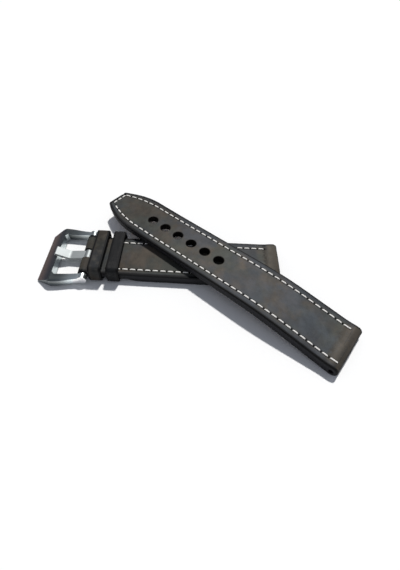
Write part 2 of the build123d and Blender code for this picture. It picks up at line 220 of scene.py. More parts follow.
class StageLooks(bpy.types.PropertyGroup):
    sun_strength: share("Lamp strength", 2.95, "Strength of the main lamp", 10)
    sun_colour: tint("Lamp colour", (1.0, 0.985, 0.955), "Colour of the main lamp")
    sky_strength: share("Fill strength", 0.25, "Strength of the soft fill light", 2)
    sky: tint("Fill colour", (0.80, 0.86, 1.0), "Colour of the soft fill light")
    floor: tint("Floor", (0.88, 0.88, 0.89), "Colour of the floor")


# Meshes


def short_place(points):
    """Places of the short piece, from under the bar, in the shared frame in metres."""
    return (points + np.array([BAR[0], BAR[1], 0])) * MM


def long_place(points):
    """The long piece's own places, turned by its heading and moved to its lug bore, in metres."""
    c, s = cos(LONG_HEADING), sin(LONG_HEADING)
    return short_place(points @ np.array([[c, s, 0], [-s, c, 0], [0, 0, 1]]) + LONG_BORE)


def same_place(points):
    """Places measured from the shared frame's middle, in metres."""
    return points * MM


class Surface:
    """Points, quads and per-point values of one piece, gathered grid by grid."""

    def __init__(self):
        self.points, self.quads, self.values, self.count = [], [], {}, 0

    def grid(self, x, y, z, keep=None, wrap=False, **values):
        """Adds a grid of points: quads join each point to the next in both directions of the arrays,
        where keep is true; wrap also joins the last row to the first."""
        x, y, z = np.broadcast_arrays(x, y, z)
        rows, columns = x.shape
        self.points.append(np.stack([x, y, z], -1).reshape(-1, 3))
        number = np.arange(rows * columns).reshape(rows, columns) + self.count
        below = np.roll(number, -1, 0) if wrap else number[1:]
        above = number if wrap else number[:-1]
        quads = np.stack([above[:, :-1], above[:, 1:], below[:, 1:], below[:, :-1]], -1)
        self.quads.append(quads[keep] if keep is not None else quads.reshape(-1, 4))
        for name, value in values.items():
            full = np.broadcast_to(value, x.shape).reshape(-1)
            self.values.setdefault(name, []).append((self.count, full))
        self.count += rows * columns

    def between(self, first, second):
        """Quads between two equally long closed rings of point numbers."""
        self.quads.append(np.stack([first, np.roll(first, -1), np.roll(second, -1), second], -1))

    def piece(self, name, place, material, closed=True, smooth=40):
        """Makes the mesh: doubled points are merged and faces turned outwards."""
        mesh = bpy.data.meshes.new(name)
        mesh.from_pydata(place(np.concatenate(self.points)), [], np.concatenate(self.quads))
        for key, parts in self.values.items():
            whole = np.zeros(self.count, np.float32)
            for start, part in parts:
                whole[start : start + len(part)] = part
            mesh.attributes.new(key, "FLOAT", "POINT").data.foreach_set("value", whole)
        model = bmesh.new()
        model.from_mesh(mesh)
        bmesh.ops.remove_doubles(model, verts=model.verts, dist=2e-6)
        bmesh.ops.dissolve_degenerate(model, edges=model.edges, dist=1e-7)
        loose = [v for v in model.verts if not v.link_faces]
        bmesh.ops.delete(model, geom=loose, context="VERTS")
        if closed:
            bmesh.ops.recalc_face_normals(model, faces=model.faces)
        model.to_mesh(mesh)
        model.free()
        mesh.shade_smooth()
        mesh.set_sharp_from_angle(angle=radians(smooth))
        mesh.materials.append(material)
        made = bpy.data.objects.new(name, mesh)
        bpy.context.scene.collection.objects.link(made)
        return made


def rows_of(block, rows):
    """Some rows of a block, which is a dictionary of equally large arrays or of plain numbers."""
    return {name: np.broadcast_to(value, block["y"].shape)[rows] for name, value in block.items()}


def stacked(blocks):
    """Blocks one under the other, joined name by name."""
    whole = [rows_of(block, slice(None)) for block in blocks]
    return {name: np.concatenate([block[name] for block in whole]) for name in whole[0]}


def arc(centre, radius, start, end, count):
    """Points on a circle between two angles in radians, evenly spread."""
    turn = np.linspace(start, end, count)
    return np.stack([centre[0] + radius * np.cos(turn), centre[1] + radius * np.sin(turn)], -1)


def rounded_line(corners, radii):
    """Line through corners, each replaced by the arc that touches both of its runs."""
    corners = [np.array(corner, float) for corner in corners]
    parts = [corners[0][None]]
    for before, corner, after, radius in zip(corners, corners[1:], corners[2:], radii):
        back = (before - corner) / np.linalg.norm(before - corner)
        on = (after - corner) / np.linalg.norm(after - corner)
        half = acos(float(np.clip(back @ on, -1, 1))) / 2
        middle = (back + on) / np.linalg.norm(back + on)
        centre = corner + middle * radius / sin(half)
        first = corner + back * radius / tan(half) - centre
        last = corner + on * radius / tan(half) - centre
        start = atan2(first[1], first[0])
        turn = (atan2(last[1], last[0]) - start + pi) % (2 * pi) - pi
        parts.append(arc(centre, radius, start, start + turn, 60))
    parts.append(corners[-1][None])
    return np.concatenate(parts)


def run_length(line):
    """Distance along a line of points at each of them."""
    steps = np.linalg.norm(np.diff(line, axis=0), axis=1)
    return np.concatenate([[0], np.cumsum(steps)])


def ring_map(p, q, radius, half):
    """Square cell whose inner square becomes a circle: a point at share m of the half side moves to
    the circle of that rank, more so nearer the hole; p and q run from -1 to 1 over the cell."""
    rank = np.maximum(np.abs(p), np.abs(q))
    along = np.abs(p) >= np.abs(q)
    lead = np.where(along, p, q)
    other = np.where(along, q, p) / np.where(lead == 0, 1, lead) * pi / 4
    turn = np.where(along, other, pi / 2 - other)
    out = np.clip((rank - HOLE_SHARE) / (1 - HOLE_SHARE), 0, 1)
    reach = (radius + (half - radius) * out**1.5) * np.sign(lead)
    blend = out * out * (3 - 2 * out)
    round_p, round_q = reach * np.cos(turn), reach * np.sin(turn)
    return round_p * (1 - blend) + p * half * blend, round_q * (1 - blend) + q * half * blend


def ripple(x, y, step, seed):
    """Soft unevenness between -1 and 1: a sum of three sine waves in different directions."""
    a = np.sin(2 * pi * (x * 0.91 + y * 0.42) / step + seed)
    b = np.sin(2 * pi * (x * -0.37 + y * 1.13) / step * 1.31 + seed * 2.3)
    c = np.sin(2 * pi * (x * 1.57 + y * -0.71) / step * 0.77 + seed * 4.1)
    return (a + b + c) / 3


def bell(distance, width):
    """1 in the middle, falling off on both sides as a bell curve of that width."""
    return np.exp(-((distance / width) ** 2))


def edge_drop(distance, radius):
    """How far the rounded edge lies below the face, at a distance in from the outline."""
    inside = np.clip(radius - distance, 0, radius)
    return radius - np.sqrt(np.maximum(radius**2 - inside**2, 0))


def lug_swell(distance):
    """How far the fold round a lug bore stands above the flat leather, at a distance from the bore."""
    return LUG_RISE * bell(np.maximum(distance, 0), LUG_RISE_REACH)


def padding(x, y, half, outline, inset, *ripples):
    """How far the padded face stands above its plain line: a crown that falls off towards the rows,
    with a coarse and a fine unevenness, and nothing at the outline."""
    across = np.clip(1 - (y / np.maximum(half - inset, 1)) ** 2, 0, 1)
    coarse, fine = (ripple(x, y, step, seed) for step, seed in ripples)
    return (0.05 * coarse + 0.02 * fine - 0.10 * (1 - across)) * np.clip(outline / 1.5, 0, 1)


class Row:
    """Stitch row: half width and length along the row over the reach along the leather."""

    def __init__(self, reach, offset, thread, near_first, far_first, count, end):
        self.reach, self.offset = reach, offset
        self.pitch, self.dent = thread.pitch / MM, thread.dent / MM
        self.length = run_length(np.stack([reach, offset], -1))
        self.length = self.length - np.interp(0, reach, self.length)
        self.first, self.count, self.end = (near_first, far_first), count, end

    def values(self, reach, y, near):
        """For points on the leather: place along the row in stitches, and distance from the row."""
        along = np.interp(reach, self.reach, self.length)
        place = (along - np.where(near, *self.first)) / self.pitch
        slope = np.interp(reach, self.reach, np.gradient(self.offset, self.reach))
        off = (np.abs(y) - np.interp(reach, self.reach, self.offset)) / np.sqrt(1 + slope**2)
        return place, np.where((place < ROW_START) | (place > self.end), FAR, off)

    def spots(self, near, back=None):
        """Reach, offset and heading of each stitch's middle, or only of one stitch before the first."""
        first = self.first[0] if near else self.first[1]
        along = first + self.pitch * np.arange(self.count) if back is None else np.array([first - back])
        reach = np.interp(along, self.length, self.reach)
        slope = np.interp(reach, self.reach, np.gradient(self.offset, self.reach))
        return reach, np.interp(reach, self.reach, self.offset), np.arctan(slope)

    def dents(self, place, off):
        """Depth of the sewn line: a shallow furrow and a deeper pit at each needle hole, midway between
        the middles of two stitches, only between the row's first and last stitch."""
        pit = bell(np.abs(place % 1 - 0.5) * self.pitch, PIT[0]) * bell(off, PIT[1])
        inside = np.clip((place + 0.9) * 3, 0, 1) * np.clip((self.count - place) * 3, 0, 1)
        return self.dent * (pit + FURROW_SHARE * bell(off, FURROW)) * inside


def stitches(surface, spots, thread, length):
    """Stitches as small bars: each is an oval section carried along a hump whose ends dip into the
    needle holes. spots holds middles, directions along, across and up, one row each."""
    middle, along, across, up = spots
    t = np.linspace(-1, 1, 8)
    turn = np.linspace(0, 2 * pi, ROUND_CUTS)
    rise = 0.22 * thread * (1 - np.abs(t) ** 6 * 2.6)
    girth = thread / 2 * np.sqrt(np.clip(1 - np.abs(t) ** 9 * 0.9, 0.05, 1))
    u = np.broadcast_to(t[:, None] * length / 2, (len(t), len(turn)))
    v = girth[:, None] * np.cos(turn)[None]
    w = rise[:, None] + 0.55 * girth[:, None] * np.sin(turn)[None]
    points = middle[:, None, None]
    for reach, way in ((u, along), (v, across), (w, up)):
        points = points + reach[None, :, :, None] * way[:, None, None]
    caps = np.repeat(points[:, [0, -1]].mean(2, keepdims=True), len(turn), 2)
    points = np.concatenate([caps[:, :1], points, caps[:, 1:]], 1)
    shape = points.shape[:3]
    number = np.arange(np.prod(shape)).reshape(shape) + surface.count
    quads = np.stack([number[:, :-1, :-1], number[:, :-1, 1:], number[:, 1:, 1:], number[:, 1:, :-1]], -1)
    surface.points.append(points.reshape(-1, 3))
    surface.quads.append(quads.reshape(-1, 4))
    lengthwise = np.concatenate([[-1], t, [1]])[None, :, None] * length / 2
    for name, value in (("along", lengthwise), ("around", turn)):
        stored = np.broadcast_to(value, shape).reshape(-1)
        surface.values.setdefault(name, []).append((surface.count, stored))
    surface.count += number.size


def shell(surface, block, spine, tunnels=(), keep=None, closed=False):
    """Closed leather body. The face is a grid of rows along the contour and columns across it. Each
    side wall runs in straight lines from the face's outer column to the spine, a line inside the
    contour that goes round the bores. Tunnels join both walls round a bore, and where the contour is
    open an end wall joins its first row to its last through the spine's first point."""
    x, y, z = (block[axis] for axis in "xyz")
    values = {name: value for name, value in block.items() if name not in "xyz"}
    surface.grid(x, y, z, keep, closed, **values)

    def inwards(line, axis):
        return line[:, None] * (1 - WALL_STEPS) + spine[:, axis][:, None] * WALL_STEPS

    for side in (0, -1):
        edge = {name: value[:, side][:, None] for name, value in values.items()}
        edge["outline"] = -WALL_STEPS[None]
        surface.grid(
            inwards(x[:, side], 0), y[:, side][:, None], inwards(z[:, side], 1), None, closed, **edge
        )
    for rows, left, right in tunnels:
        across = np.linspace(0, 1, 9)
        start = y[rows, 0] if left is None else np.full(len(rows), left)
        end = y[rows, -1] if right is None else np.full(len(rows), right)
        surface.grid(
            spine[rows, 0][:, None],
            start[:, None] * (1 - across) + end[:, None] * across,
            spine[rows, 1][:, None],
            outline=-1.0, fold=FAR, hole=FAR,
        )
    if not closed:
        down = np.concatenate([WALL_STEPS, 2 - WALL_STEPS[-2::-1]])[:, None]
        first, last = np.clip(1 - down, 0, 1), np.clip(down - 1, 0, 1)
        rest = 1 - first - last
        surface.grid(
            x[0] * first + spine[0, 0] * rest + x[-1] * last,
            y[0],
            z[0] * first + spine[0, 1] * rest + z[-1] * last,
            outline=-0.5, fold=90.0, hole=FAR,
        )


def fold_rows(shape, centre, radius, turn, edge, middle, counts, swollen=0.0):
    """Rows round a fold at these turns, and what they store: a circle of the fold's radius, less the
    rounded edge and plus what swollen leather stands out."""
    half = shape.half(centre[0] + radius * np.cos(turn))
    y = side_columns(half, edge, middle * np.ones_like(turn), *counts)
    outline = np.maximum(half - np.abs(y), 0)
    out = radius - edge_drop(outline, edge) + swollen
    rows = {"x": centre[0] + out * np.cos(turn), "y": y, "z": centre[1] + out * np.sin(turn)}
    return rows | {"outline": outline, "hole": FAR, "row_place": -FAR, "row_off": FAR}


def upward(x, z):
    """Unit normals of a top line that is given by its points."""
    dx, dz = np.gradient(x), np.gradient(z)
    length = np.hypot(dx, dz)
    return (-dz / length)[:, None], (dx / length)[:, None]


def side_columns(half, edge, middle, middle_count, outer_count):
    """Places across the leather for each row, from one outline to the other: an even middle block,
    even outer strips, and columns that close up over the rounded edge."""
    turn = np.linspace(0, pi / 2, ROUND_CUTS)[1:]
    block = middle * np.linspace(0, 1, middle_count + 1)[None]
    strip = middle + (half - edge - middle) * np.linspace(0, 1, outer_count + 1)[None, 1:]
    rim = half - edge * (1 - np.sin(turn))[None]
    right = np.concatenate([block, strip, rim], 1)
    return np.concatenate([-right[:, :0:-1], right], 1)


class LongShape:
    """Sizes of the long piece that follow from its drape: top and underside lines over its reach."""

    def __init__(self, s, thread):
        self.reach, self.fold = s.long_reach / MM, s.lug_fold / MM
        self.top, self.under = self.line(THICKNESS, 1), self.line((0, 0, 0), -1)
        self.length = run_length(self.top)
        self.end = float(np.interp(self.reach, self.top[:, 0], self.length))
        half_lug, half_shoulder = s.lug_width / MM / 2, s.shoulder_width / MM / 2
        shoulder = self.reach - SHOULDER_BACK
        corners = [(-self.fold, half_lug), (shoulder, half_shoulder), (self.reach, s.tail_width / MM / 2)]
        self.plan = rounded_line(corners + [(self.reach, 0)], PLAN_BENDS)[:-1]
        row_half = half_lug - thread.inset / MM
        narrowing = (half_lug - half_shoulder) / (shoulder + self.fold)
        turn_start, lean = self.reach - ROW_TURN_BACK, atan2(narrowing, 1)
        reach = np.linspace(-2, turn_start, 200)
        turn = np.linspace(0, asin((self.reach - TAIL_ROW - turn_start) / ROW_BEND), 60)[1:] + lean
        bend_x = turn_start + ROW_BEND * (np.sin(turn) - sin(lean))
        bend_y = row_half - narrowing * turn_start - ROW_BEND * (cos(lean) - np.cos(turn))
        offset = np.concatenate([row_half - narrowing * reach, bend_y])
        self.row = Row(np.concatenate([reach, bend_x]), offset, thread, **LONG_ROW)

    def line(self, heights, side):
        """Top (1) or underside (-1): up the slope, along the level stretch, and up to the tail."""
        centre = np.array([0, self.fold])
        slope = np.array([SLOPE_END, LEVEL + heights[0]])
        away = slope - centre
        turn = atan2(away[1], away[0]) + side * acos(self.fold / np.linalg.norm(away))
        start = centre + self.fold * np.array([cos(turn), sin(turn)])
        lift_start = np.array([self.reach - LIFT_BACK, LEVEL + heights[1]])
        tail = np.array([self.reach, LEVEL + LIFT + heights[2]]) + [RUN_ON, LIFT * RUN_ON / LIFT_BACK]
        a, b = tail - lift_start, lift_start - slope
        bend = abs(atan2(a[1], a[0]) - atan2(b[1], b[0]))
        lift_bend = LIFT_BEND_SHARE * LIFT_BACK / tan(bend / 2)
        return rounded_line([start, slope, lift_start, tail], [SLOPE_BEND, lift_bend])

    def half(self, x):
        """Half the width at a distance from the lug bore."""
        return np.interp(x, self.plan[:, 0], self.plan[:, 1])

    def at(self, reach):
        """x and z of the top at a reach along the leather."""
        x = np.interp(reach, self.length, self.top[:, 0])
        return x, np.interp(reach, self.length, self.top[:, 1]) + lug_swell(x)

    def floor(self, x):
        return np.interp(x, self.under[:, 0], self.under[:, 1])


class ShortShape:
    """Sizes of the short piece that follow: its top, underside and width over the reach."""

    def __init__(self, s, thread):
        self.reach, self.bar = s.short_reach / MM, (0.0, BAR[2])
        self.thick = 2 * s.lug_fold / MM
        floor = self.thick - WAIST
        self.bar_fold, self.lug_fold = s.bar_fold / MM, s.lug_fold / MM
        waist, padded = s.waist_end / MM, s.padding_start / MM
        corners = [(0, floor), (waist, floor), (padded, 0), (self.reach, 0)]
        self.under = rounded_line(corners, [RAMP_BEND] * 2)
        self.widths = (s.bar_width / MM / 2, s.lug_width / MM / 2)
        self.end = self.reach + self.lug_fold
        reach = np.linspace(0, self.reach, 200)
        self.row = Row(reach, self.half(reach) - thread.inset / MM, thread, **SHORT_ROW)
        self.blend_top = self.meeting(self.thick, 1)
        self.blend_under = self.meeting(floor, -1)

    def meeting(self, height, side):
        """Where an arc joins the flat leather to the fold round the bar, and the arc's height."""
        up = abs(height + side * FOLD_BEND - self.bar[1])
        return sqrt((self.bar_fold + FOLD_BEND) ** 2 - up**2), height + side * FOLD_BEND

    def half(self, x):
        along = (x + self.bar_fold) / (self.end + self.bar_fold)
        return self.widths[0] + (self.widths[1] - self.widths[0]) * along

    def ceiling(self, x):
        """Top over the reach: flat, with a hollow arc up to the fold."""
        over, centre = self.blend_top
        hollow = centre - np.sqrt(np.maximum(FOLD_BEND**2 - (x - over) ** 2, 0))
        return np.where(x < over, hollow, self.thick)

    def floor(self, x):
        """Underside over the reach: table, ramp, waist and a hollow arc down to the fold."""
        over, centre = self.blend_under
        hollow = centre + np.sqrt(np.maximum(FOLD_BEND**2 - (x - over) ** 2, 0))
        return np.where(x < over, hollow, np.interp(x, self.under[:, 0], self.under[:, 1]))


def hole_cells(s, shape):
    """Reaches of the rows over the whole top, with even cuts over each hole's cell, the number of the
    first cell's first row, and the holes' middles."""
    pitch, edge = s.hole_pitch / MM, s.edge_round / MM
    centres = shape.reach - s.hole_back / MM - pitch * np.arange(HOLE_COUNT)[::-1]
    first, last = centres[0] - pitch / 2, centres[-1] + pitch / 2
    before = np.linspace(0, first, int(first / pitch * CUTS) + 1)[:-1]
    cells = np.linspace(first, last, HOLE_COUNT * CUTS + 1)
    after = np.linspace(last, shape.end - edge, int((shape.end - edge - last) / pitch * CUTS) + 1)[1:]
    rim = shape.end - edge * (1 - np.sin(np.linspace(0, pi / 2, ROUND_CUTS)[1:]))
    return np.concatenate([before, cells, after, rim]), len(before), centres


def lining_shell(surface, flat, lower, dents, lining, keep=None):
    """Lining: its face from the far end back, then its underside with the dents and a furrow along the
    rows, round a line halfway between."""
    depth, width = LINING_FURROW
    under = {**flat, "z": lower + dents + depth * bell(flat["row_off"], width)}
    face = rows_of({**flat, "z": lower + lining - LINING_GAP}, FLIPPED)
    line = np.stack([flat["x"][:, 0], lower[:, 0] + lining / 2], -1)
    spine = np.concatenate([line[::-1], line])
    spine[len(line) - 1 : len(line) + 1, 0] += 0.3      # in from the end beside the flap
    shell(surface, stacked([face, under]), spine, keep=keep)


def long_layer(s, thread, which):
    """Long piece's leather body (outer leather, fold, flap and filler) or its lining, as one closed
    shell with a wall round each punched hole. The body's face is the drape's top line, less the rounded
    edge, the sewn rows and a dent round each hole, plus the padding. Its underside is the drape's lower
    line, and the lining's thickness higher beyond the flap. Round the holes, square cells of the grid
    turn into rings."""
    shape, surface = LongShape(s, thread), Surface()
    rows, start, centres = hole_cells(s, shape)
    edge, flap, lining = s.edge_round / MM, s.flap_reach / MM, s.lining / MM
    pitch, hole_r = s.hole_pitch / MM, s.hole_r / MM
    if which == "lining":
        x_rows = shape.at(rows)[0]
        first = np.searchsorted(x_rows, flap) + 1
        rows = np.concatenate([[flap + float(rows[first] - x_rows[first])], rows[first:]])
        start += 1 - first
    count = len(rows)
    half = shape.half(shape.at(rows)[0])[:, None]
    narrowed = np.minimum(1, half / (s.shoulder_width / MM / 2))
    y = side_columns(half, edge, pitch / 2 * narrowed, *HOLE_COLUMNS)
    reach = np.broadcast_to(rows[:, None], y.shape).copy()
    middle = y.shape[1] // 2
    cell = slice(middle - CUTS // 2, middle + CUTS // 2 + 1)
    hole, inside = np.full(y.shape, FAR), np.zeros(y.shape, bool)
    p = np.broadcast_to(np.linspace(-1, 1, CUTS + 1)[:, None], (CUTS + 1, CUTS + 1))
    u, v = ring_map(p, p.T, hole_r, pitch / 2)
    core = np.maximum(np.abs(p), np.abs(p.T)) < HOLE_SHARE - 0.01
    for n, centre in enumerate(centres):
        span = slice(start + n * CUTS, start + (n + 1) * CUTS + 1)
        reach[span, cell] = centre + u
        y[span, cell] = v
        hole[span, cell] = np.hypot(u, v) - hole_r
        inside[span, cell] |= core
    x, z = shape.at(reach)
    place, off = shape.row.values(reach, y, y > 0)
    outline = np.maximum(np.minimum(half - np.abs(y), shape.end - reach), 0)
    lower, sewn, drop = shape.floor(x), shape.row.dents(place, off), edge_drop(outline, edge)
    base = x[:, 0]
    flat = {"x": x, "y": y, "outline": outline, "fold": np.maximum(reach, 0), "hole": hole}
    flat |= {"row_place": place, "row_off": off}
    open_quads = ~(inside[:-1, :-1] | inside[1:, :-1] | inside[:-1, 1:] | inside[1:, 1:])
    if which == "lining":
        keep = np.concatenate([open_quads[::-1], np.ones((1, y.shape[1] - 1), bool), open_quads])
        lining_shell(surface, flat, lower, drop + sewn, lining, keep)
        shift = count
    else:
        tail = bell(shape.end - reach - TAIL_ROW, PIT[1]) * (np.abs(y) < TAIL_HALF) * shape.row.dent
        dents = sewn + tail * bell(np.abs(y / TAIL_PITCH % 1 - 0.5) * TAIL_PITCH, PIT[0])
        dents += HOLE_DENT[0] * bell(hole, HOLE_DENT[1])
        swell = padding(x, y, half, outline, thread.inset / MM, (17.0, 0.7), (5.0, 1.9))
        nx, nz = upward(base, z[:, 0])
        depth = drop + dents - swell
        face = {**flat, "x": x - nx * depth, "z": z - nz * depth}
        start_turn = atan2(shape.top[0, 1] - shape.fold, shape.top[0, 0])
        end_turn = atan2(shape.under[0, 1] - shape.fold, shape.under[0, 0]) + 2 * pi
        turn = np.linspace(start_turn, end_turn, LUG_TURNS + 2)[1:-1, None]
        lug = (0.0, shape.fold)
        swollen = (swell[:1] + lug_swell(0)) * np.clip(1 - (turn - turn[0]) / RISE_TURN, 0, 1)
        fold = fold_rows(shape, lug, shape.fold, turn, edge, pitch / 2, HOLE_COLUMNS, swollen)
        fold["fold"] = (turn[0] - turn) * shape.fold
        flap_count = int((base < flap).sum())
        low_flap = {**flat, "x": np.maximum(x, shape.under[0, 0]), "z": lower + drop + sewn}
        step = rows_of(flat, slice(flap_count - 1, flap_count)) | {"x": flap}
        block = stacked([
            rows_of(face, FLIPPED),
            fold,
            rows_of(low_flap, slice(flap_count)),
            {**step, "z": shape.floor(flap) + drop[flap_count - 1 : flap_count]},
            {**step, "z": shape.floor(flap) + lining},
            rows_of({**flat, "z": lower + lining}, slice(flap_count, None)),
        ])
        bore_rows = int((base < LUG_STRETCH).sum())
        bore_total = 2 * bore_rows + LUG_TURNS
        bore = arc(lug, s.lug_bore / MM, 0, 2 * pi, bore_total)
        middle_z = (z[:, 0] + shape.floor(base)) / 2
        line = np.stack([base, middle_z], -1)[bore_rows:]
        flap_line, deep_line = np.split(line, [flap_count - bore_rows])
        corner = [[flap + 0.02, float(np.interp(flap, base, middle_z))]] * 2
        spine = np.concatenate([line[::-1], bore, flap_line, corner, deep_line])
        tunnels = [(np.arange(bore_total) + count - bore_rows, None, None)]
        shift = count + LUG_TURNS + 2
        keep = np.ones((len(spine) - 1, y.shape[1] - 1), bool)
        keep[: count - 1] = open_quads[::-1]
        keep[shift + flap_count :] = open_quads[flap_count:]
        shell(surface, block, spine, tunnels, keep)
    ring_half = round(CUTS * HOLE_SHARE / 2)
    a, most = np.arange(-ring_half, ring_half), np.full(2 * ring_half, ring_half)
    j = middle + np.concatenate([-most, a, most, -a])
    for n in range(HOLE_COUNT):
        k = start + n * CUTS + CUTS // 2 + np.concatenate([a, most, -a, -most])
        surface.between((count - 1 - k) * y.shape[1] + j, (shift + k) * y.shape[1] + j)
    return surface


def short_layer(s, thread, which):
    """Short piece's leather body (outer leather, both folds and filler) or its lining. The body's face
    is the top line, less the rounded edge and the sewn rows, plus the padding and what the lug fold
    stands up. Its underside is the lower line, and the lining's thickness higher between the flaps."""
    shape, surface = ShortShape(s, thread), Surface()
    edge, lining, flap = s.edge_round / MM, s.lining / MM, s.flap_reach / MM
    slot, slot_end = s.slot_width / MM / 2, s.slot_end / MM
    far_flap = shape.reach - flap
    base = np.linspace(flap, far_flap, int((far_flap - flap) / CONTOUR_STEP))
    if which == "body":
        base = np.concatenate([
            np.linspace(slot_end, shape.blend_top[0], 8)[:-1],
            np.linspace(shape.blend_top[0], flap, 22)[:-1],
            base[:-1],
            np.linspace(far_flap, shape.reach, 30),
        ])
    half = shape.half(base)[:, None]
    y = side_columns(half, edge, slot * np.ones_like(half), *SLOT_COLUMNS)
    outline = np.maximum(half - np.abs(y), 0)
    x = np.broadcast_to(base[:, None], y.shape)
    place, off = shape.row.values(x, y, y < 0)
    lower, sewn, drop = shape.floor(x), shape.row.dents(place, off), edge_drop(outline, edge)
    flat = {"x": x, "y": y, "outline": outline, "fold": shape.reach - x, "hole": FAR}
    flat |= {"row_place": place, "row_off": off, "bar": x}
    if which == "lining":
        lining_shell(surface, flat, lower, drop + sewn, lining)
        return surface
    swell = padding(x, y, half, outline, thread.inset / MM, (19.0, 2.7), (5.5, 0.4))
    swell *= np.clip((x - slot_end) / 3, 0, 1)
    uncovered = np.clip((y + 7.0) / 3.0, 0, 1)      # the long piece lies on the lug's near corner
    swell += lug_swell(shape.reach - x) * uncovered
    nx, nz = upward(base, shape.ceiling(base))
    depth = drop + sewn - swell
    face = {**flat, "x": x - nx * depth, "z": shape.ceiling(x) - nz * depth}
    low_flap, deep = {**flat, "z": lower + drop + sewn * 0.9}, {**flat, "z": lower + lining}
    in_lining = (base > flap - 1e-6) & (base < far_flap + 1e-6)
    first, last = int(np.argmax(in_lining)), len(base) - int(np.argmax(in_lining[::-1])) - 1
    start, end = (atan2(line(slot_end) - shape.bar[1], slot_end) for line in (shape.ceiling, shape.floor))
    turn = np.linspace(start, end + 2 * pi, BAR_TURNS + 2)[1:-1, None]
    round_bar = fold_rows(shape, shape.bar, shape.bar_fold, turn, edge, slot, SLOT_COLUMNS)
    turn = np.linspace(-pi / 2, pi / 2, LUG_TURNS + 2)[1:-1, None]
    lug = (shape.reach, shape.lug_fold)
    swollen = swell[-1:] * np.clip(1 - (turn[-1] - turn) / RISE_TURN, 0, 1)
    round_lug = fold_rows(shape, lug, shape.lug_fold, turn, edge, slot, SLOT_COLUMNS, swollen)
    block = stacked([
        rows_of(face, FLIPPED),
        round_bar | {"fold": 90.0, "bar": 0.0},
        rows_of(low_flap, slice(first + 1)),
        rows_of(deep, slice(first, last + 1)),
        rows_of(low_flap, slice(last, None)),
        round_lug | {"fold": (turn - turn[-1]) * shape.lug_fold, "bar": 90.0},
    ])
    count, total = len(base), len(block["x"])
    bar_rows = int((base < BAR_STRETCH).sum())
    lug_rows = int((base > shape.reach - LUG_STRETCH).sum())
    bar_total, lug_total = 2 * bar_rows + BAR_TURNS, lug_rows + LUG_TURNS
    line = np.stack([base, (shape.ceiling(base) + shape.floor(base)) / 2], -1)[: count - lug_rows]
    lug_hole = arc(lug, s.lug_bore / MM, -pi, pi, lug_rows + lug_total)
    spine = np.concatenate([
        lug_hole[lug_total:],
        line[bar_rows:][::-1],
        arc(shape.bar, s.bar_hole / MM, 0, 2 * pi, bar_total),
        line[bar_rows : first + 1],
        line[first : last + 1],
        line[last:],
        lug_hole[:lug_total],
    ])
    bar_ids = np.arange(bar_total) + count - bar_rows
    lug_ids = np.concatenate([np.arange(total - lug_total, total), np.arange(lug_rows)])
    tunnels = [(bar_ids, None, -slot), (bar_ids, slot, None), (lug_ids, None, None)]
    middle, slot_rows = y.shape[1] // 2, (count - 1, count + BAR_TURNS)
    keep = np.ones((total, y.shape[1] - 1), bool)
    keep[slice(*slot_rows), middle - SLOT_CUTS : middle + SLOT_CUTS] = False
    shell(surface, block, spine, tunnels, keep, closed=True)
    slot_walls(surface, block, spine, (bar_ids[0], *slot_rows, bar_ids[-1]), middle, slot, slot_end)
    return surface


def slot_walls(surface, block, spine, rows, middle, slot, slot_end):
    """Walls of the tongue's slot: straight lines from the contour to the bar hole at both sides, and at
    its end a wall from the top over the bar hole's rear to the underside. The end wall is hollowed
    round the tongue's eye, except along its outline, which it shares with the other walls."""
    first, up, down, last = rows
    stored = {"outline": -0.5, "fold": 90.0, "hole": FAR}
    faces = [block[axis] for axis in "xz"]
    inside = np.arange(up, down + 1)
    for side in (-1, 1):
        column = middle + side * SLOT_CUTS
        wall_x, wall_z = (
            face[inside, column][:, None] * (1 - WALL_STEPS) + spine[inside, axis][:, None] * WALL_STEPS
            for axis, face in enumerate(faces)
        )
        surface.grid(wall_x, side * slot, wall_z, **stored)
    columns, steps = np.arange(middle - SLOT_CUTS, middle + SLOT_CUTS + 1), WALL_STEPS[:, None]
    ring = np.concatenate([spine[first:up][::-1], spine[down + 1 : last][::-1]])
    walls = []
    for axis, face in enumerate(faces):
        upper, lower = (
            face[row, columns] * (1 - steps) + spine[row, axis] * steps for row in (up, down)
        )
        bore = ring[:, axis][:, None] * np.ones(len(columns))
        walls.append(np.concatenate([upper, bore, lower[::-1]]))
    wall_x, wall_z = walls
    pocket = np.sqrt(np.maximum(POCKET**2 - (wall_z - BAR[2]) ** 2, 0))
    deeper = np.maximum(np.maximum(wall_x, slot_end), pocket)
    rim = np.ones(wall_x.shape, bool)
    rim[1:-1, 1:-1] = False
    wall_y = np.linspace(-slot, slot, len(columns))[None]
    surface.grid(np.where(rim, wall_x, deeper), wall_y, wall_z, **stored)


